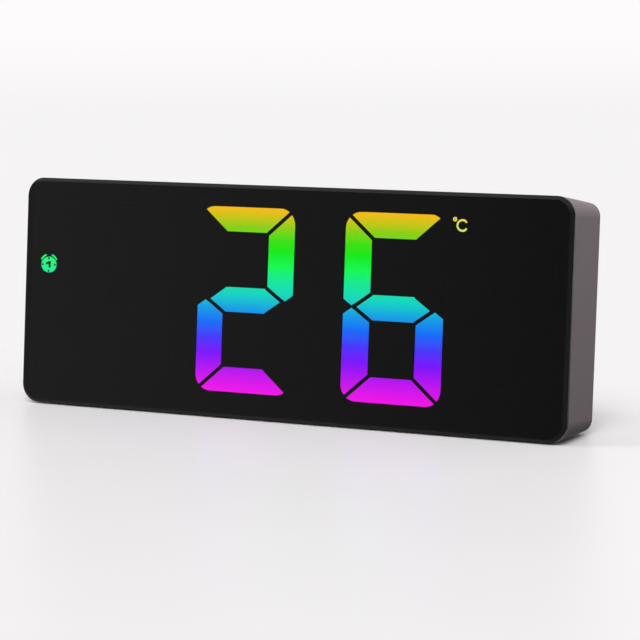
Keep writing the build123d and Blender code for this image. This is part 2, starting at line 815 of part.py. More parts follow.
# Rear cover: the back plate, the battery bay and its latch pocket, and the holes for what it serves
cover_width = lip_width - 2 * cover_fit
cover_height = lip_height - 2 * cover_fit
bay_bottom = bay_z - bay_height / 2
bay_top = bay_z + bay_height / 2
hook_room = hinge_depth - hook_swing - hook_fit
hook_roof = door_top + hook_reach + hook_fit
terminals = [(bay_left, cell_rows[-1]), (bay_right if cell_count % 2 else bay_left, cell_rows[0])]
with BuildPart() as rear_cover:
    with BuildSketch(at_depth(clock_depth)):
        RectangleRounded(cover_width, cover_height, lip_radius - cover_fit)
    extrude(amount=cover_thickness)
    with BuildSketch(at_depth(cover_inner)):
        with Locations((bay_x, bay_z)):
            Rectangle(frame_length, frame_height)
    extrude(amount=cover_inner - frame_inner)
    with BuildSketch(at_depth(cover_inner)):
        with Locations((bay_x, bay_z)):
            Rectangle(bay_length + 2 * bay_wall, bay_height + 2 * bay_wall)
    extrude(amount=cover_inner - bay_outer)
    with BuildSketch(at_depth(cover_inner)):
        with Locations((bay_x, (door_bottom + pocket_bottom - pocket_wall) / 2)):
            Rectangle(pocket_width + 2 * pocket_wall, door_bottom - pocket_bottom + pocket_wall)
    extrude(amount=cover_inner - pocket_inner + pocket_wall)
    with BuildSketch(at_depth(cover_inner)):
        with Locations(*post_places):
            Circle(post_radius)
    extrude(amount=cover_inner - board_back - post_gap)
    with BuildSketch(at_depth(clock_depth)) as recess:
        with Locations((bay_x, bay_z)):
            Rectangle(recess_length, recess_height)
        fillet(recess.vertices().group_by(Axis.Y)[0], radius=door_corner + door_fit)
    extrude(amount=door_thickness + door_seat, mode=Mode.SUBTRACT)
    with BuildSketch(at_depth(clock_depth)):
        with Locations((bay_x, bay_z)):
            Rectangle(bay_length, bay_height)
    extrude(amount=clock_depth - bay_inner, mode=Mode.SUBTRACT)
    with BuildSketch(at_depth(clock_depth)):
        with Locations((bay_x, (pocket_edge + bay_bottom) / 2)):
            Rectangle(pocket_width, bay_bottom - pocket_edge)
    extrude(amount=cover_thickness, mode=Mode.SUBTRACT)
    with BuildSketch(at_depth(cover_inner)):
        with Locations((bay_x, (pocket_bottom + bay_bottom) / 2)):
            Rectangle(pocket_width, bay_bottom - pocket_bottom)
    extrude(amount=cover_inner - pocket_inner, mode=Mode.SUBTRACT)
    with BuildSketch(at_depth(hook_outer + hook_fit)):
        with Locations(*[(x, (bay_top + hook_roof) / 2) for x in hook_places]):
            Rectangle(hook_width + 2 * hook_fit, hook_roof - bay_top)
    extrude(amount=hook_outer + hook_fit - hook_room, mode=Mode.SUBTRACT)
    with BuildSketch(at_depth(cell_axis + plate_thickness / 2 + lug_fit)):
        with Locations(*terminals):
            Rectangle(2 * bay_wall + over, lug_width + 2 * lug_fit)
    extrude(amount=plate_thickness + 2 * lug_fit, mode=Mode.SUBTRACT)
    with BuildSketch(at_depth(clock_depth)):
        with Locations(*key_places):
            SlotOverall(key_length + 2 * key_fit, key_width + 2 * key_fit)
        with Locations(inlet_place):
            RectangleRounded(inlet_length, inlet_height, inlet_corner)
        with Locations(buzzer_place):
            Circle(sound_hole_diameter / 2)
            with PolarLocations(sound_ring_radius, sound_hole_count):
                Circle(sound_hole_diameter / 2)
        with Locations(sensor_place):
            with GridLocations(vent_pitch, 0, vent_count, 1):
                SlotOverall(vent_length, vent_width, rotation=90)
    extrude(amount=cover_thickness, mode=Mode.SUBTRACT)
    with Locations(*facing_rear(clock_depth, corner_places)):
        CounterBoreHole(
            radius=screw_hole_diameter / 2,
            counter_bore_radius=screw_head_diameter / 2 + head_fit,
            counter_bore_depth=screw_head_height,
            depth=cover_thickness,
        )
save(rear_cover, "rear_cover")

# Battery door: a lid with a round upper edge to turn on, two hooks, ribs and a sprung latch
nose_rear = cover_inner - nose_gap
latch_turn = door_inner - latch_depth + latch_bend + latch_strip
with BuildPart() as battery_door:
    with BuildSketch(side_plane(bay_x - door_length / 2)):
        with BuildLine():
            Polyline(
                (clock_depth, hinge_z),
                (clock_depth, door_bottom),
                (door_inner, door_bottom),
                (door_inner, hinge_z),
            )
            ThreePointArc((door_inner, hinge_z), (hinge_depth, door_top), (clock_depth, hinge_z))
        make_face()
    extrude(amount=door_length)
    fillet(battery_door.edges().filter_by(Axis.Y).group_by(Axis.Z)[0], radius=door_corner)
    with BuildSketch(at_depth(hook_outer)):
        with Locations(*[(x, door_top + (hook_reach - hook_root) / 2) for x in hook_places]):
            Rectangle(hook_width, hook_reach + hook_root)
    extrude(amount=hook_thickness)
    with BuildSketch(at_depth(door_inner)):
        with Locations(*[(x, bay_z) for x in hook_places]):
            Rectangle(door_rib_width, bay_height - 2 * hook_root)
    extrude(amount=door_rib_height)
    with BuildSketch(at_depth(clock_depth)):
        grip_z = door_bottom + grip_edge_gap + grip_pitch * (grip_count - 1) / 2
        with Locations((bay_x, grip_z)):
            with GridLocations(0, grip_pitch, 1, grip_count):
                SlotOverall(latch_width, grip_width)
    extrude(amount=-grip_height)
    with BuildSketch(side_plane(bay_x - latch_width / 2)):
        with BuildLine() as latch_line:
            Line((hinge_depth, latch_z), (latch_turn, latch_z))
            RadiusArc((latch_turn, latch_z), (latch_turn, latch_return_z), -(latch_bend + latch_strip / 2))
            Line((latch_turn, latch_return_z), (clock_depth - pad_drop, latch_return_z))
        trace(latch_line.line, line_width=latch_strip)
        Polygon(
            (nose_rear, latch_edge),
            (nose_rear, latch_edge - nose_height),
            (nose_rear - nose_length, latch_edge),
            align=None,
        )
    extrude(amount=latch_width)
save(battery_door, "battery_door")

# Three round cells in series, each the other way round from its neighbour
spring_ends = []
for number, row in enumerate(reversed(cell_rows)):
    way = 1 if number % 2 == 0 else -1
    nub_end = bay_x - way * (bay_length / 2 - plate_thickness)
    shoulder = nub_end + way * nub_length
    with BuildPart() as cell:
        with BuildSketch(side_plane(shoulder)):
            with Locations((cell_axis, row)):
                Circle(cell_diameter / 2)
        extrude(amount=way * (cell_length - nub_length))
        fillet(cell.edges(), radius=cell_round)
        with BuildSketch(side_plane(shoulder)):
            with Locations((cell_axis, row)):
                Circle(nub_diameter / 2)
        extrude(amount=-way * nub_length)
    save(cell, f"battery_cell_{number + 1}")
    spring_ends.append((nub_end + way * cell_length, way, row))

# Contact plates: a terminal with a solder lug at each end of the chain, and links between
plate_depth = cell_axis + plate_height / 2
plate_runs = [(1, cell_rows[-1], cell_rows[-1])]
for link in range(cell_count - 1):
    plate_runs.append((-1 if link % 2 == 0 else 1, cell_rows[-1 - link], cell_rows[-2 - link]))
plate_runs.append((-1 if cell_count % 2 else 1, cell_rows[0], cell_rows[0]))
with BuildPart() as contact_plates:
    with BuildSketch(at_depth(plate_depth)):
        for way, upper, lower in plate_runs:
            with Locations((bay_x - way * (bay_length - plate_thickness) / 2, (upper + lower) / 2)):
                Rectangle(plate_thickness, upper - lower + plate_width)
    extrude(amount=plate_height)
    lug_reach = bay_wall + lug_fit + plate_thickness
    with BuildSketch(at_depth(cell_axis + plate_thickness / 2)):
        for way, upper, lower in (plate_runs[0], plate_runs[-1]):
            with Locations((bay_x - way * (bay_length / 2 + lug_reach / 2), upper)):
                Rectangle(lug_reach, lug_width)
    extrude(amount=plate_thickness)
    with BuildSketch(at_depth(cell_axis + lug_height / 2)):
        for way, upper, lower in (plate_runs[0], plate_runs[-1]):
            with Locations((bay_x - way * (bay_length / 2 + lug_reach - plate_thickness / 2), upper)):
                Rectangle(plate_thickness, lug_width)
    extrude(amount=lug_height)
save(contact_plates, "contact_plates")


def turn_points(foot, tip):
    """Points and directions at each quarter turn of a coil that narrows from its foot to its tip."""
    points = []
    quarters = 4 * spring_turns
    for quarter in range(quarters + 1):
        share = quarter / quarters
        turn = quarter * pi / 2
        radius = spring_base_radius + (spring_tip_radius - spring_base_radius) * share
        narrowing = (spring_tip_radius - spring_base_radius) / (quarters * pi / 2)
        advance = (tip.X - foot.X) / (quarters * pi / 2)
        point = Vector(
            foot.X + (tip.X - foot.X) * share,
            foot.Y + radius * cos(turn),
            foot.Z + radius * sin(turn),
        )
        heading = Vector(
            advance,
            narrowing * cos(turn) - radius * sin(turn),
            narrowing * sin(turn) + radius * cos(turn),
        )
        points.append((point, heading.normalized()))
    return points


def arc_joint(start, start_heading, end, end_heading):
    """The point and heading where two equal-handled tangent arcs between two points meet."""
    chord = end - start
    along = chord.dot(start_heading + end_heading)
    bend = 2 * (1 - start_heading.dot(end_heading))
    handle = (sqrt(along * along + bend * chord.dot(chord)) - along) / bend
    start_handle = start + start_heading * handle
    end_handle = end - end_heading * handle
    return (start_handle + end_handle) / 2, (end_handle - start_handle).normalized()


# Coil springs behind the flat end of each cell, wound narrower towards the cell
coil_points = []
coil_steps = turn_steps * spring_turns
with BuildPart() as contact_springs:
    for cell_end, way, row in spring_ends:
        plate_face = bay_x + way * (bay_length / 2 - plate_thickness)
        seat = spring_wire / 2 + spring_seat_gap
        foot = Vector(plate_face - way * seat, cell_axis, row)
        tip = Vector(cell_end + way * seat, cell_axis, row)
        quarters = turn_points(foot, tip)
        with BuildLine() as coil:
            for (start, start_heading), (end, end_heading) in zip(quarters, quarters[1:]):
                joint, joint_heading = arc_joint(start, start_heading, end, end_heading)
                TangentArc(start, joint, tangent=start_heading)
                TangentArc(joint, end, tangent=joint_heading)
        with BuildSketch(Plane(origin=quarters[0][0], z_dir=quarters[0][1])):
            Circle(spring_wire / 2)
        sweep(path=coil.line)
        coil_points = [coil.wires()[0].position_at(step / coil_steps) for step in range(coil_steps + 1)]
save(contact_springs, "contact_springs")
least_gap = min(
    (coil_points[first] - coil_points[second]).length - spring_wire
    for first in range(len(coil_points))
    for second in range(first + turn_steps // 2, len(coil_points))
)
print(f"least gap between turns of a contact spring {least_gap:.2f} mm")

# Two insulated leads, from the solder lugs down to the board
for name, (way, row, lower) in (("positive", plate_runs[0]), ("negative", plate_runs[-1])):
    lug_face = bay_x - way * (bay_length / 2 + lug_reach)
    lead_x = lug_face - way * (lead_run + lead_bend)
    with BuildPart() as lead:
        with BuildLine() as route:
            FilletPolyline(
                (lug_face, cell_axis, row),
                (lead_x, cell_axis, row),
                (lead_x, board_back, row),
                radius=lead_bend,
            )
        with BuildSketch(Plane(origin=(lug_face, cell_axis, row), z_dir=(-way, 0, 0))):
            Circle(lead_diameter / 2)
        sweep(path=route.line)
    save(lead, f"lead_{name}")


def screws(places, seat, shank_length):
    """Pan-head screws driven from the rear, with their heads standing on the seat depth."""
    with BuildPart() as group:
        with BuildSketch(at_depth(seat)):
            with Locations(*places):
                Circle(screw_head_diameter / 2)
        extrude(amount=-screw_head_height)
        chamfer(group.faces().group_by(Axis.Y)[-1].edges(), length=screw_head_bevel)
        with BuildSketch(at_depth(seat + screw_head_height)):
            with Locations(*places):
                Rectangle(screw_shank_diameter, screw_cross_width)
                Rectangle(screw_cross_width, screw_shank_diameter)
        extrude(amount=screw_cross_depth, mode=Mode.SUBTRACT)
        with BuildSketch(at_depth(seat)):
            with Locations(*places):
                Circle(screw_shank_diameter / 2)
        extrude(amount=shank_length)
    return group


# Screws that hold the board to the reflector, and the rear cover to the corner bosses
save(screws(board_screw_places, board_back, board_thickness + board_screw_grip), "board_screws")
cover_screw_seat = clock_depth - screw_head_height
cover_screw_length = cover_screw_seat - cover_inner + cover_screw_grip
save(screws(corner_places, cover_screw_seat, cover_screw_length), "cover_screws")
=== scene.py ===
import math

import bmesh
import bpy
from mathutils import Matrix, Vector


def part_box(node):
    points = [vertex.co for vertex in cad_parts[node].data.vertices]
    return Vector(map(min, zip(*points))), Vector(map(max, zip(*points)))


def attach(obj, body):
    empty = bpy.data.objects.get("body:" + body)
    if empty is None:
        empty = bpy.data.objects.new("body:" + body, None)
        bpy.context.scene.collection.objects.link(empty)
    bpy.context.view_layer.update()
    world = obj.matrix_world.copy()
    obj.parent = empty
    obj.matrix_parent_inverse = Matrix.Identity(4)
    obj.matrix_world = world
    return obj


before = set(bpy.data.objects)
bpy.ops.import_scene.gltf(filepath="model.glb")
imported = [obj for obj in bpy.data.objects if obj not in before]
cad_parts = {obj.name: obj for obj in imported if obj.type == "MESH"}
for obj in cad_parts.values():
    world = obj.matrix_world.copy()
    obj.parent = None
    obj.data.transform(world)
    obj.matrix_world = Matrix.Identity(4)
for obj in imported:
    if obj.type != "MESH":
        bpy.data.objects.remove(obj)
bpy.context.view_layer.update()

# A digital desk clock with a smoked window over a display of light bars that glow in a run of colours.
# Lengths in the frame are metres, and a size in a section is millimetres times MM.
MM = 0.001


# Housing
# One injection moulding in grey ABS: four walls with round corners, open to the front and the rear.
# The mould was spark eroded, so the skin has a fine even grain and only a broad, soft sheen.
def linear(hex_colour):
    """The linear red, green, blue and alpha of an sRGB hex colour."""
    parts = [int(hex_colour[place:place + 2], 16) / 255 for place in (1, 3, 5)]
    return [p / 12.92 if p <= 0.04045 else ((p + 0.055) / 1.055) ** 2.4 for p in parts] + [1.0]


def add_node(tree, kind, inputs=None, **settings):
    """Add a node with its settings, and fill its inputs with values or with links from other sockets."""
    node = tree.nodes.new(kind)
    for setting, value in settings.items():
        setattr(node, setting, value)
    for socket, value in (inputs or {}).items():
        if isinstance(value, bpy.types.NodeSocket):
            tree.links.new(value, node.inputs[socket])
        else:
            node.inputs[socket].default_value = value
    return node


def start_material(name):
    """A material with an empty node tree."""
    material = bpy.data.materials.new(name)
    material.use_nodes = True
    material.node_tree.nodes.clear()
    return material, material.node_tree


def end_material(tree, shader):
    """Join a shader to the output of the material that holds it."""
    add_node(tree, "ShaderNodeOutputMaterial", {"Surface": shader.outputs["BSDF"]})


def dress(material, *nodes):
    """Give these nodes of the frame a material."""
    for name in nodes:
        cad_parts[name].material_slots[0].material = material


# The colour sockets of a Mix node share their names with others, so they go by number.
colour_a, colour_b, colour_out = 6, 7, 2
# Plastic that flowed into a mould leaves soft clouds of colour about this wide.
flow_width = 28 * MM
plastic_ior = 1.53


def moulded_plastic(name, colour, drift, grain, depth, roughness, spread, shine=0.5):
    """A moulded plastic skin: spark grain of this size and depth, and a slow drift between two colours."""
    material, tree = start_material(name)
    place = add_node(tree, "ShaderNodeTexCoord").outputs["Object"]
    flow = add_node(tree, "ShaderNodeTexNoise", {"Vector": place, "Scale": 1 / flow_width, "Detail": 3.0})
    skin = add_node(tree, "ShaderNodeTexNoise", {"Vector": place, "Scale": 1 / grain, "Detail": 2.0})
    tint = add_node(tree, "ShaderNodeMix", {
        "Factor": flow.outputs["Fac"], colour_a: linear(colour), colour_b: linear(drift),
    }, data_type="RGBA")
    gloss = add_node(tree, "ShaderNodeMapRange", {
        "Value": skin.outputs["Fac"], "From Min": 0.3, "From Max": 0.7,
        "To Min": roughness - spread, "To Max": roughness + spread,
    })
    grains = add_node(tree, "ShaderNodeBump", {
        "Height": skin.outputs["Fac"], "Strength": 0.5, "Distance": depth,
    })
    shader = add_node(tree, "ShaderNodeBsdfPrincipled", {
        "Base Color": tint.outputs[colour_out], "Roughness": gloss.outputs["Result"],
        "Normal": grains.outputs["Normal"], "IOR": plastic_ior, "Specular IOR Level": shine,
    })
    end_material(tree, shader)
    return material


# The grain is about 0.1 mm on the real skin, and is drawn at 0.5 mm so that it shows.
grey_abs = moulded_plastic(
    "grey ABS, fine spark grain", "#8d8185", "#92868a",
    grain=0.5 * MM, depth=0.02 * MM, roughness=0.6, spread=0.06, shine=0.25,
)
dress(grey_abs, "front_housing")

# Rubber feet
# Two pads of black rubber, die cut from sheet and stuck in shallow pockets under the housing.
# Soft rubber is dull, with a fine ground skin and a faint grey bloom.
foot_rubber = moulded_plastic(
    "black sheet rubber", "#1d1c1b", "#262524",
    grain=0.4 * MM, depth=0.03 * MM, roughness=0.78, spread=0.08,
)
dress(foot_rubber, "rubber_feet")

# Display mask and window border
# A printed black sheet on the reflector, and a ring of the same black ink on the back of the window.
# Dense screen ink is dead black with a slightly uneven, half-matt face.
screen_ink = moulded_plastic(
    "black screen ink", "#050505", "#080808",
    grain=0.4 * MM, depth=0.004 * MM, roughness=0.6, spread=0.05, shine=0.0,
)
dress(screen_ink, "display_mask")


def rounded_outline(width, height, radius, steps):
    """The points of a rounded rectangle round the origin, from its right side and against the clock."""
    points = []
    for corner, (side, level) in enumerate(((1, 1), (-1, 1), (-1, -1), (1, -1))):
        for step in range(steps + 1):
            turn = math.radians(90 * (corner + step / steps))
            points.append((
                side * (width / 2 - radius) + radius * math.cos(turn),
                level * (height / 2 - radius) + radius * math.sin(turn),
            ))
    return points


# The front leans back by this angle, so prints are drawn upright and turned with it.
lean = math.radians(4.3)
stance = Matrix.Rotation(-lean, 4, "X")


def upright_box(node):
    """The low and the high corner of a node in axes that lean back with the front."""
    points = [stance.inverted() @ vertex.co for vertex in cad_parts[node].data.vertices]
    return Vector(map(min, zip(*points))), Vector(map(max, zip(*points)))


def add_piece(name, mesh, material, body):
    """Lean an upright mesh with the clock, as a piece on a body with the given material."""
    mesh.transform(stance)
    mesh.materials.append(material)
    piece = bpy.data.objects.new(name, mesh)
    bpy.context.scene.collection.objects.link(piece)
    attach(piece, body)


# Against the glassy back of the window the ink looks wet.
wet_ink = moulded_plastic(
    "black screen ink, wet on glass", "#050505", "#080808",
    grain=0.4 * MM, depth=0.0, roughness=0.03, spread=0.01, shine=0.45,
)
window_low, window_high = upright_box("front_window")
mask_low, mask_high = upright_box("display_mask")
window_middle = (window_low + window_high) / 2
border_front = window_high.y - 0.04 * MM
border_back = window_high.y - 0.01 * MM
# The ring stops short of the edge of the window, and its opening is smaller than the mask.
border_trim = 0.3 * MM
border_corner = 5.15 * MM
opening_trim = 0.6 * MM
opening_corner = 9.7 * MM
corner_steps = 10
border_outer = rounded_outline(
    window_high.x - window_low.x - border_trim, window_high.z - window_low.z - border_trim,
    border_corner, corner_steps,
)
border_inner = rounded_outline(
    mask_high.x - mask_low.x - opening_trim, mask_high.z - mask_low.z - opening_trim,
    opening_corner, corner_steps,
)
border = bmesh.new()
rings = [
    [border.verts.new((window_middle.x + x, y, window_middle.z + z)) for x, z in outline]
    for y, outline in (
        (border_front, border_outer), (border_front, border_inner),
        (border_back, border_inner), (border_back, border_outer),
    )
]
for first, second in zip(rings, rings[1:] + rings[:1]):
    for place in range(len(first)):
        after = (place + 1) % len(first)
        border.faces.new((first[place], first[after], second[after], second[place]))
bmesh.ops.recalc_face_normals(border, faces=border.faces)
border_mesh = bpy.data.meshes.new("window_border_print")
border.to_mesh(border_mesh)
add_piece("window_border_print", border_mesh, wet_ink, "clock")


# Reflector block
# A white polystyrene moulding with one shaft for each bar, which throws the light forward.
# Its front is sprayed black, and the shafts are black nearly down to the board as painted shade that keeps
# the gaps between the bars dark. Behind that it is milky and half matt.
def upright_place(tree):
    """The place of a point in axes that lean back with the front, as X, Y and Z sockets."""
    place = add_node(tree, "ShaderNodeTexCoord").outputs["Object"]
    turned = add_node(tree, "ShaderNodeMapping", {"Vector": place, "Rotation": (lean, 0, 0)})
    return add_node(tree, "ShaderNodeSeparateXYZ", {"Vector": turned.outputs["Vector"]}).outputs


# Black from the front back to these depths, where it turns milky: spray on the front, painted shade down the
# shafts.
spray_and_shade_start = mask_high.y + 3.8 * MM
spray_and_shade_end = mask_high.y + 4.4 * MM
milk_grain = 0.6 * MM
white_styrene, tree = start_material("white filled polystyrene, front sprayed black")
place = add_node(tree, "ShaderNodeTexCoord").outputs["Object"]
milk = add_node(tree, "ShaderNodeTexNoise", {"Vector": place, "Scale": 1 / milk_grain, "Detail": 2.0})
milky_share = add_node(tree, "ShaderNodeMapRange", {
    "Value": upright_place(tree)["Y"], "From Min": spray_and_shade_start, "From Max": spray_and_shade_end,
})
milk_tint = add_node(tree, "ShaderNodeMix", {
    "Factor": milk.outputs["Fac"], colour_a: linear("#eceae4"), colour_b: linear("#f2f0ea"),
}, data_type="RGBA")
styrene_tint = add_node(tree, "ShaderNodeMix", {
    "Factor": milky_share.outputs["Result"], colour_a: linear("#060606"), colour_b: milk_tint.outputs[colour_out],
}, data_type="RGBA")
styrene = add_node(tree, "ShaderNodeBsdfPrincipled", {
    "Base Color": styrene_tint.outputs[colour_out], "Roughness": 0.5, "IOR": 1.55,
    "Specular IOR Level": 0.1,
})
end_material(tree, styrene)
dress(white_styrene, "reflector_block")

# Lit bars
# Opal acrylic bars that fill the shafts, each lit from behind by its own chips in a different colour.
# The colour runs with height, so from the front it reads as one smooth band from orange to magenta.
bar_low, bar_high = upright_box("lit_tens_bars")
colour_run = (
    (0.00, "#fa00ea"), (0.13, "#b200f4"), (0.21, "#7a00fe"), (0.29, "#4432fe"),
    (0.37, "#0668fc"), (0.45, "#009ee8"), (0.54, "#00dcc0"), (0.69, "#00fe4e"),
    (0.77, "#00f000"), (0.83, "#36e600"), (0.90, "#90d400"), (1.00, "#ffbe04"),
)
acrylic_ior = 1.49
unlit_opal = linear("#101010")
opal_roughness = 0.45
lit_acrylic, tree = start_material("opal acrylic, lit in a run of colours")
share = add_node(tree, "ShaderNodeMapRange", {
    "Value": upright_place(tree)["Z"], "From Min": bar_low.z, "From Max": bar_high.z,
})
run = add_node(tree, "ShaderNodeValToRGB", {"Fac": share.outputs["Result"]})
while len(run.color_ramp.elements) < len(colour_run):
    run.color_ramp.elements.new(0.5)
for element, (stop, colour) in zip(run.color_ramp.elements, colour_run):
    element.position = stop
    element.color = linear(colour)
opal = add_node(tree, "ShaderNodeBsdfPrincipled", {
    "Base Color": unlit_opal, "Roughness": opal_roughness, "IOR": acrylic_ior,
    "Emission Color": run.outputs["Color"], "Emission Strength": 3.5,
})
end_material(tree, opal)
dress(lit_acrylic, "lit_tens_bars", "lit_units_bars")

# Dark bars and colon
# The same bars where no chip is on: the rest of the four digits and the two dots of the colon.
# Smoked opal is almost black when it is dark, so the figures vanish into the mask.
dark_acrylic = moulded_plastic(
    "smoked opal acrylic, dark", "#050505", "#080808",
    grain=0.5 * MM, depth=0.004 * MM, roughness=0.6, spread=0.04, shine=0.0,
)
dress(dark_acrylic, "unlit_bars", "colon_dots")


# Alarm mark and unit mark
# Small opal windows of the same kind: a green alarm clock with two bells, and a yellow degree mark.
# A dark print on their faces makes the hand, the four ticks and the eye of the degree ring.
def lit_mark(name, low_colour, high_colour, node):
    """Opal acrylic that glows in a blend of two colours from the foot to the top of a node."""
    material, tree = start_material(name)
    low, high = upright_box(node)
    share = add_node(tree, "ShaderNodeMapRange", {
        "Value": upright_place(tree)["Z"], "From Min": low.z, "From Max": high.z,
    })
    glow = add_node(tree, "ShaderNodeMix", {
        "Factor": share.outputs["Result"], colour_a: linear(low_colour), colour_b: linear(high_colour),
    }, data_type="RGBA")
    shader = add_node(tree, "ShaderNodeBsdfPrincipled", {
        "Base Color": unlit_opal, "Roughness": opal_roughness, "IOR": acrylic_ior,
        "Emission Color": glow.outputs[colour_out], "Emission Strength": 3.4,
    })
    end_material(tree, shader)
    dress(material, node)


lit_mark("opal acrylic, lit green", "#04fa98", "#2cfc74", "alarm_icon")
lit_mark("opal acrylic, lit yellow", "#d6f064", "#f2de54", "unit_mark")


def add_print(name, outlines, x, z, front, depth, ink):
    """A thin print on the clock about a place, from outlines of points in X and Z that are millimetres."""
    shape = bmesh.new()
    for outline in outlines:
        face = shape.faces.new([shape.verts.new((x + px * MM, front, z + pz * MM)) for px, pz in outline])
        back = bmesh.ops.extrude_face_region(shape, geom=[face])
        moved = [item for item in back["geom"] if isinstance(item, bmesh.types.BMVert)]
        bmesh.ops.translate(shape, verts=moved, vec=(0, depth, 0))
    bmesh.ops.recalc_face_normals(shape, faces=shape.faces)
    mesh = bpy.data.meshes.new(name)
    shape.to_mesh(mesh)
    add_piece(name, mesh, ink, "clock")


# The middle of the dial stands this high over the foot of the mark.
dial_rise = 2.25 * MM
icon_low, icon_high = upright_box("alarm_icon")
icon_x = (icon_low.x + icon_high.x) / 2
icon_z = icon_low.z + dial_rise
print_front = mask_low.y - 0.05 * MM
print_thickness = 0.04 * MM
hand_outline = [
    (0.66, 1.0), (0.1, 1.0), (-1.0, 0.5), (-0.92, -0.08), (-0.06, 0.28), (-0.06, -0.86), (0.66, -0.86),
]
add_print(
    "alarm_hand_print", [hand_outline], icon_x, icon_z, print_front, print_thickness, screen_ink,
)

tick_tree = bpy.data.node_groups.new("ring of printed ticks", "GeometryNodeTree")
tick_sockets = {}
for label, kind in (
    ("Ring radius", "NodeSocketFloat"), ("Tick radius", "NodeSocketFloat"), ("Count", "NodeSocketInt"),
    ("Sides", "NodeSocketInt"), ("Thickness", "NodeSocketFloat"), ("Ink", "NodeSocketMaterial"),
):
    socket = tick_tree.interface.new_socket(label, in_out="INPUT", socket_type=kind)
    tick_sockets[label] = socket.identifier
tick_tree.interface.new_socket("Geometry", in_out="OUTPUT", socket_type="NodeSocketGeometry")
given = add_node(tick_tree, "NodeGroupInput").outputs
ring = add_node(tick_tree, "GeometryNodeMeshCircle", {
    "Vertices": given["Count"], "Radius": given["Ring radius"],
})
tick = add_node(tick_tree, "GeometryNodeMeshCylinder", {
    "Vertices": given["Sides"], "Radius": given["Tick radius"], "Depth": given["Thickness"],
}, fill_type="NGON")
ticks = add_node(tick_tree, "GeometryNodeInstanceOnPoints", {
    "Points": ring.outputs["Mesh"], "Instance": tick.outputs["Mesh"],
})
real = add_node(tick_tree, "GeometryNodeRealizeInstances", {"Geometry": ticks.outputs["Instances"]})
inked = add_node(tick_tree, "GeometryNodeSetMaterial", {
    "Geometry": real.outputs["Geometry"], "Material": given["Ink"],
})
add_node(tick_tree, "NodeGroupOutput", {"Geometry": inked.outputs["Geometry"]})

# The ticks stand just inside the rim of the dial, which is a little wider than it is high.
tick_squeeze = 0.88
dot_sides = 16
holder = bpy.data.objects.new("ticks", bpy.data.meshes.new("ticks"))
bpy.context.scene.collection.objects.link(holder)
maker = holder.modifiers.new("ticks", "NODES")
maker.node_group = tick_tree
for label, value in (
    ("Ring radius", 2.08 * MM), ("Tick radius", 0.33 * MM), ("Count", 4),
    ("Sides", dot_sides), ("Thickness", print_thickness), ("Ink", screen_ink),
):
    maker[tick_sockets[label]] = value
graph = bpy.context.evaluated_depsgraph_get()
tick_mesh = bpy.data.meshes.new_from_object(holder.evaluated_get(graph))
tick_mesh.name = "alarm_tick_print"
bpy.data.objects.remove(holder)
tick_place = Matrix.Translation((icon_x, print_front + print_thickness / 2, icon_z))
face_front = Matrix.Rotation(math.pi / 2, 4, "X")
tick_mesh.transform(tick_place @ face_front @ Matrix.Scale(tick_squeeze, 4, (0, 1, 0)))
tick_mesh.materials.clear()
add_piece("alarm_tick_print", tick_mesh, screen_ink, "clock")


def disc_outline(radius, x, z, count):
    """Points round a disc."""
    turns = [2 * math.pi * step / count for step in range(count)]
    return [(x + radius * math.cos(turn), z + radius * math.sin(turn)) for turn in turns]


degree_radius = 0.575 * MM
mark_low, mark_high = upright_box("unit_mark")
add_print(
    "degree_eye_print", [disc_outline(0.2, 0.0, 0.0, dot_sides)],
    mark_low.x + degree_radius, mark_high.z - degree_radius,
    print_front, print_thickness, screen_ink,
)

# Window
# A sheet of smoked cast acrylic over the whole front, with a polished bevel round its edge.
# It is glossy and nearly black, takes a thin bright line along the bevel, and lets the lit bars through.
haze_width = 12 * MM
smoked_acrylic, tree = start_material("smoked cast acrylic, polished")
place = add_node(tree, "ShaderNodeTexCoord").outputs["Object"]
haze = add_node(tree, "ShaderNodeTexNoise", {"Vector": place, "Scale": 1 / haze_width, "Detail": 2.0})
polish = add_node(tree, "ShaderNodeMapRange", {
    "Value": haze.outputs["Fac"], "To Min": 0.015, "To Max": 0.04,
})
sheet = add_node(tree, "ShaderNodeBsdfPrincipled", {
    "Base Color": linear("#929294"), "Roughness": polish.outputs["Result"], "IOR": acrylic_ior,
    "Transmission Weight": 1.0,
})
end_material(tree, sheet)
dress(smoked_acrylic, "front_window")

# Window tape
# A ring of black foam tape with glue on both faces, which holds the window to the ledge of the housing.
# Closed foam is dull, with tiny cells.
foam_tape = moulded_plastic(
    "black closed-cell foam tape", "#141414", "#1c1c1c",
    grain=0.3 * MM, depth=0.05 * MM, roughness=0.9, spread=0.05,
)
dress(foam_tape, "window_tape")

# Circuit board
# Glass fibre laminate with copper tracks under green solder resist.
# The tracks show as paler green lines on a dark, glossy green.
board_resist, tree = start_material("green solder resist over copper")
place = add_node(tree, "ShaderNodeTexCoord").outputs["Object"]
turned = add_node(tree, "ShaderNodeMapping", {"Vector": place, "Rotation": (math.pi / 2, 0, 0)})
tracks = add_node(tree, "ShaderNodeTexBrick", {
    "Vector": turned.outputs["Vector"], "Scale": 1.0,
    "Mortar Size": 0.25 * MM, "Brick Width": 9 * MM, "Row Height": 1.6 * MM,
    "Color1": linear("#0b4a2a"), "Color2": linear("#0d5230"), "Mortar": linear("#1d7a48"),
})
board = add_node(tree, "ShaderNodeBsdfPrincipled", {
    "Base Color": tracks.outputs["Color"], "Roughness": 0.3, "IOR": 1.55,
})
end_material(tree, board)
dress(board_resist, "main_board")

# Light chips
# Small lamps in white packages, filled with a pale yellow resin, soldered behind each bar.
# The resin is glossy and a little cloudy.
chip_resin = moulded_plastic(
    "pale phosphor resin", "#e8dfae", "#efe8c4",
    grain=0.5 * MM, depth=0.005 * MM, roughness=0.25, spread=0.05,
)
dress(chip_resin, "light_chips")

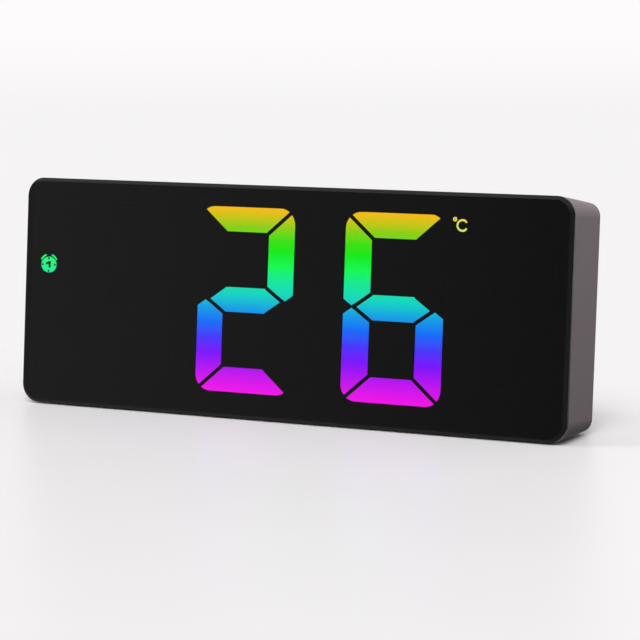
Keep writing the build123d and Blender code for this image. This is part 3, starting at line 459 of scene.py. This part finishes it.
# Black components
# The controller, the switches, the buzzer, the sensor bead and the block of the inlet.
# Epoxy and nylon mouldings are charcoal black, with a faint grain from the mould.
black_moulding = moulded_plastic(
    "black epoxy moulding", "#191919", "#202020",
    grain=0.4 * MM, depth=0.01 * MM, roughness=0.5, spread=0.08,
)
dress(
    black_moulding, "controller_chip", "switch_bodies", "buzzer", "temperature_sensor", "inlet_tongue",
    "plunger_mode", "plunger_set", "plunger_up", "plunger_down", "plunger_alarm",
)


# Plated metal
# Contact plates, springs, the inlet shell and the crystal can in nickel, screws in zinc, an aluminium can.
# Plating over drawn or rolled steel is bright, with fine streaks along the way that the metal was worked.
def plated_metal(name, colour, dull, streak_length, streak_width, roughness):
    """Worked metal with fine streaks along X, which vary its colour and its gloss."""
    material, tree = start_material(name)
    place = add_node(tree, "ShaderNodeTexCoord").outputs["Object"]
    drawn = add_node(tree, "ShaderNodeMapping", {
        "Vector": place, "Scale": (1 / streak_length, 1 / streak_width, 1 / streak_width),
    })
    streaks = add_node(tree, "ShaderNodeTexNoise", {
        "Vector": drawn.outputs["Vector"], "Scale": 1.0, "Detail": 4.0,
    })
    tint = add_node(tree, "ShaderNodeMix", {
        "Factor": streaks.outputs["Fac"], colour_a: linear(colour), colour_b: linear(dull),
    }, data_type="RGBA")
    gloss = add_node(tree, "ShaderNodeMapRange", {
        "Value": streaks.outputs["Fac"], "From Min": 0.3, "From Max": 0.7,
        "To Min": roughness, "To Max": roughness + 0.15,
    })
    shader = add_node(tree, "ShaderNodeBsdfPrincipled", {
        "Base Color": tint.outputs[colour_out], "Metallic": 1.0, "Roughness": gloss.outputs["Result"],
    })
    end_material(tree, shader)
    return material


nickel_plate = plated_metal(
    "nickel-plated steel", "#d2cfc8", "#b8b4ac", streak_length=3 * MM, streak_width=0.2 * MM, roughness=0.18,
)
dress(nickel_plate, "contact_plates", "contact_springs", "inlet_shell", "clock_crystal")
zinc_plate = plated_metal(
    "zinc-plated steel", "#a9abad", "#8c8e91", streak_length=0.6 * MM, streak_width=0.2 * MM, roughness=0.3,
)
dress(zinc_plate, "board_screws", "cover_screws")
can_aluminium = plated_metal(
    "drawn aluminium can", "#d4d5d6", "#c4c5c6", streak_length=0.3 * MM, streak_width=2 * MM, roughness=0.25,
)
dress(can_aluminium, "supply_capacitor")

# Leads
# Two stranded wires in soft vinyl, red to the positive end of the bay and black to the negative end.
# Vinyl is smooth and a little waxy.
red_vinyl = moulded_plastic(
    "red soft vinyl", "#a01418", "#b01a1c",
    grain=0.8 * MM, depth=0.01 * MM, roughness=0.38, spread=0.05,
)
dress(red_vinyl, "lead_positive")
black_vinyl = moulded_plastic(
    "black soft vinyl", "#151515", "#1b1b1b",
    grain=0.8 * MM, depth=0.01 * MM, roughness=0.38, spread=0.05,
)
dress(black_vinyl, "lead_negative")

# Cells
# Three steel cans in a shrunk film with a plain dark blue-grey print and a pale band at one end.
# The film is glossy, with faint wrinkles from the shrinking.
band_length = 12 * MM
wrinkle_width = 2.5 * MM
band_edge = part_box("battery_cell_1")[0].x + band_length
cell_film, tree = start_material("printed shrink film over steel")
place = add_node(tree, "ShaderNodeTexCoord").outputs["Object"]
along = add_node(tree, "ShaderNodeSeparateXYZ", {"Vector": place}).outputs["X"]
wrinkle = add_node(tree, "ShaderNodeTexNoise", {
    "Vector": place, "Scale": 1 / wrinkle_width, "Detail": 2.0,
})
band = add_node(tree, "ShaderNodeMath", {0: along, 1: band_edge}, operation="LESS_THAN")
film_tint = add_node(tree, "ShaderNodeMix", {
    "Factor": band.outputs["Value"], colour_a: linear("#23303c"), colour_b: linear("#9aa3a8"),
}, data_type="RGBA")
creases = add_node(tree, "ShaderNodeBump", {
    "Height": wrinkle.outputs["Fac"], "Strength": 0.3, "Distance": 0.03 * MM,
})
film = add_node(tree, "ShaderNodeBsdfPrincipled", {
    "Base Color": film_tint.outputs[colour_out], "Roughness": 0.28, "IOR": 1.5,
    "Normal": creases.outputs["Normal"],
})
end_material(tree, film)
dress(cell_film, "battery_cell_1", "battery_cell_2", "battery_cell_3")

# Rear cover and battery door
# Two mouldings in black ABS: the cover is screwed into the corners, and the door hooks into it at the top.
# Their mould has a coarser spark grain than the housing, so they look duller and a shade lighter at a slant.
black_abs = moulded_plastic(
    "black ABS, coarse spark grain", "#232323", "#292929",
    grain=0.7 * MM, depth=0.05 * MM, roughness=0.6, spread=0.07,
)
dress(black_abs, "rear_cover", "battery_door")

# Keys
# Five small caps moulded in charcoal ABS, which slide in slots of the cover and press the switches.
# The caps are smoother than the cover, with a silky sheen from handling.
key_abs = moulded_plastic(
    "charcoal ABS, silky", "#4a4a4c", "#515153",
    grain=0.6 * MM, depth=0.01 * MM, roughness=0.36, spread=0.06,
)
dress(key_abs, "key_mode", "key_set", "key_up", "key_down", "key_alarm")

# Key signs
# White pad prints on the cover under each key: three lines, a disc, two arrows and a bell.
# Pad ink is thin, flat white with a slightly soft gloss.
pad_ink = moulded_plastic(
    "white pad-print ink", "#d9d9d6", "#e2e2df",
    grain=0.5 * MM, depth=0.004 * MM, roughness=0.5, spread=0.05,
)
sign_drop = 5.6 * MM
sign_thickness = 0.03 * MM
sign_front = upright_box("rear_cover")[1].y + sign_thickness
bell_outline = [
    (-1.2, -0.8), (1.2, -0.8), (0.85, -0.35), (0.8, 0.35), (0.55, 0.85), (0.15, 1.05),
    (-0.15, 1.05), (-0.55, 0.85), (-0.8, 0.35), (-0.85, -0.35),
]
sign_outlines = {
    "mode": [
        [(-1.1, z - 0.17), (1.1, z - 0.17), (1.1, z + 0.17), (-1.1, z + 0.17)] for z in (-0.8, 0.0, 0.8)
    ],
    "set": [disc_outline(0.95, 0.0, 0.0, 24)],
    "up": [[(-1.15, -0.85), (1.15, -0.85), (0.0, 1.05)]],
    "down": [[(-1.15, 0.85), (0.0, -1.05), (1.15, 0.85)]],
    "alarm": [bell_outline, disc_outline(0.28, 0.0, -1.2, 12)],
}
for key, outlines in sign_outlines.items():
    key_low, key_high = upright_box("key_" + key)
    key_middle = (key_low + key_high) / 2
    add_print(
        "sign_" + key, outlines, key_middle.x, key_middle.z - sign_drop,
        sign_front, -sign_thickness, pad_ink,
    )

# Floor
# A wide satin white table top, which takes a soft shadow and a blurred reflection of the dark front.
# Near the clock its colour is painted black for light that bounces off it, a painted shade that keeps the
# lower edges of the clock dark; the camera still sees it white.
# Behind the clock it fades into the backdrop.
floor_half = 4000 * MM
cloud_width = 60 * MM
painted_shade_half_width, painted_shade_half_depth = 165 * MM, 95 * MM
fade_length = 140 * MM
floor = bmesh.new()
floor_corners = ((-1, -1), (1, -1), (1, 1), (-1, 1))
floor.faces.new([floor.verts.new((x * floor_half, y * floor_half, 0)) for x, y in floor_corners])
floor_mesh = bpy.data.meshes.new("table_top")
floor.to_mesh(floor_mesh)
table, tree = start_material("satin white table top")
place = add_node(tree, "ShaderNodeTexCoord").outputs["Object"]
cloud = add_node(tree, "ShaderNodeTexNoise", {"Vector": place, "Scale": 1 / cloud_width, "Detail": 2.0})
table_tint = add_node(tree, "ShaderNodeMix", {
    "Factor": cloud.outputs["Fac"], colour_a: linear("#f6f4f5"), colour_b: linear("#f9f7f8"),
}, data_type="RGBA")
seen = add_node(tree, "ShaderNodeLightPath").outputs["Is Camera Ray"]
about = add_node(tree, "ShaderNodeMapping", {
    "Vector": place, "Scale": (1 / painted_shade_half_width, 1 / painted_shade_half_depth, 1),
})
reach = add_node(tree, "ShaderNodeVectorMath", {0: about.outputs["Vector"]}, operation="LENGTH")
# Painted shade: black for bounced light close to the clock, turning to the table's own colour further out.
bounce = add_node(tree, "ShaderNodeMapRange", {
    "Value": reach.outputs["Value"], "From Min": 1.1, "From Max": 2.6, "To Min": 0.0, "To Max": 1.0,
}, interpolation_type="SMOOTHSTEP")
kept = add_node(tree, "ShaderNodeMath", {0: bounce.outputs["Result"], 1: seen}, operation="MAXIMUM")
shaded = add_node(tree, "ShaderNodeMix", {
    "Factor": kept.outputs["Value"], colour_a: linear("#000000"), colour_b: table_tint.outputs[colour_out],
}, data_type="RGBA")
top = add_node(tree, "ShaderNodeBsdfPrincipled", {
    "Base Color": shaded.outputs[colour_out], "Roughness": 0.4, "IOR": 1.45, "Specular IOR Level": 0.19,
})
far = add_node(tree, "ShaderNodeSeparateXYZ", {"Vector": place}).outputs["Y"]
fade = add_node(tree, "ShaderNodeMapRange", {
    "Value": far, "From Min": 0.0, "From Max": fade_length,
}, interpolation_type="SMOOTHSTEP")
gone = add_node(tree, "ShaderNodeBsdfTransparent")
blend = add_node(tree, "ShaderNodeMixShader", {
    "Fac": fade.outputs["Result"], 1: top.outputs["BSDF"], 2: gone.outputs["BSDF"],
})
add_node(tree, "ShaderNodeOutputMaterial", {"Surface": blend.outputs["Shader"]})
floor_mesh.materials.append(table)
floor_piece = bpy.data.objects.new("table_top", floor_mesh)
bpy.context.scene.collection.objects.link(floor_piece)
floor_piece.visible_glossy = False
floor_piece.visible_transmission = False

# Light
# The camera sees a pale backdrop, and so do the rays that glossy and clear pieces send to the rear.
# Everything else stands in a dim room with a paler ceiling and some light from the table, and the window
# mirrors it. A big soft lamp shines from the front right, and a weak one from the left front.
world = bpy.data.worlds.new("pale studio")
bpy.context.scene.world = world
world.use_nodes = True
tree = world.node_tree
tree.nodes.clear()
look = add_node(tree, "ShaderNodeTexCoord").outputs["Generated"]
ways = add_node(tree, "ShaderNodeSeparateXYZ", {"Vector": look}).outputs
backdrop = add_node(tree, "ShaderNodeMapRange", {
    "Value": ways["Z"], "From Min": -0.038, "From Max": -0.012, "To Min": 0.917, "To Max": 0.982,
})
# How bright the room is, from far left to far right.
room_levels = ((0.1, 0.05), (0.21, 0.29), (0.32, 0.12), (0.5, 0.12), (0.75, 0.16), (0.94, 0.28))
across = add_node(tree, "ShaderNodeMapRange", {"Value": ways["X"], "From Min": -1.0})
room = add_node(tree, "ShaderNodeValToRGB", {"Fac": across.outputs["Result"]})
while len(room.color_ramp.elements) < len(room_levels):
    room.color_ramp.elements.new(0.5)
for element, (stop, level) in zip(room.color_ramp.elements, room_levels):
    element.position = stop
    element.color = (level, level, level, 1.0)
ceiling_level = 0.55
overhead = add_node(tree, "ShaderNodeMapRange", {
    "Value": ways["Z"], "From Min": 0.25, "From Max": 0.8,
}, interpolation_type="SMOOTHSTEP")
ceiling = add_node(tree, "ShaderNodeMix", {
    "Factor": overhead.outputs["Result"], "A": room.outputs["Color"], "B": ceiling_level,
})
under = add_node(tree, "ShaderNodeMapRange", {
    "Value": ways["Z"], "From Min": -0.1, "From Max": -0.5,
}, interpolation_type="SMOOTHSTEP")
table_level = add_node(tree, "ShaderNodeMapRange", {
    "Value": ways["Y"], "From Min": 0.25, "From Max": 0.6, "To Min": 0.23, "To Max": 0.45,
}, interpolation_type="SMOOTHSTEP")
sky = add_node(tree, "ShaderNodeMix", {
    "Factor": under.outputs["Result"], "A": ceiling.outputs["Result"], "B": table_level.outputs["Result"],
})
behind = add_node(tree, "ShaderNodeMapRange", {
    "Value": ways["Y"], "From Min": 0.6, "From Max": 0.85,
}, interpolation_type="SMOOTHSTEP")
above = add_node(tree, "ShaderNodeMapRange", {
    "Value": ways["Z"], "From Min": -0.2, "From Max": -0.05,
}, interpolation_type="SMOOTHSTEP")
standing = add_node(tree, "ShaderNodeMath", {
    0: behind.outputs["Result"], 1: above.outputs["Result"],
}, operation="MULTIPLY")
paths = add_node(tree, "ShaderNodeLightPath").outputs
bent = add_node(tree, "ShaderNodeMath", {
    0: paths["Is Glossy Ray"], 1: paths["Is Transmission Ray"],
}, operation="MAXIMUM")
wall = add_node(tree, "ShaderNodeMath", {
    0: bent.outputs["Value"], 1: standing.outputs["Value"],
}, operation="MULTIPLY")
pale = add_node(tree, "ShaderNodeMath", {
    0: paths["Is Camera Ray"], 1: wall.outputs["Value"],
}, operation="MAXIMUM")
strength = add_node(tree, "ShaderNodeMix", {
    "Factor": pale.outputs["Value"], "A": sky.outputs["Result"], "B": backdrop.outputs["Result"],
})
studio = add_node(tree, "ShaderNodeBackground", {
    "Color": linear("#fffdfe"), "Strength": strength.outputs["Result"],
})
add_node(tree, "ShaderNodeOutputWorld", {"Surface": studio.outputs["Background"]})

for lamp_name, energy, spread, way in (
    ("far softbox", 2.24, 35, (-0.22, 0.7, -0.67)),
    ("left window", 0.43, 8, (0.68, 0.355, -0.643)),
):
    lamp = bpy.data.lights.new(lamp_name, "SUN")
    lamp.energy = energy
    lamp.angle = math.radians(spread)
    lamp_object = bpy.data.objects.new(lamp_name, lamp)
    lamp_object.rotation_euler = Vector(way).to_track_quat("-Z", "Y").to_euler()
    bpy.context.scene.collection.objects.link(lamp_object)

# Camera
# A long lens above the clock and to its right, with its axis a little down.
# Its place, turn and length come from a fit to the edges and corners of the clock.
lens = bpy.data.cameras.new("camera")
lens.sensor_width = 36.0
lens.lens = 149.71
camera = bpy.data.objects.new("camera", lens)
camera.location = (0.347394, -0.651875, 0.114434)
camera.rotation_euler = (math.radians(83.2786), 0, math.radians(27.6586))
bpy.context.scene.collection.objects.link(camera)
bpy.context.scene.camera = camera
bpy.context.scene.view_settings.view_transform = "Standard"
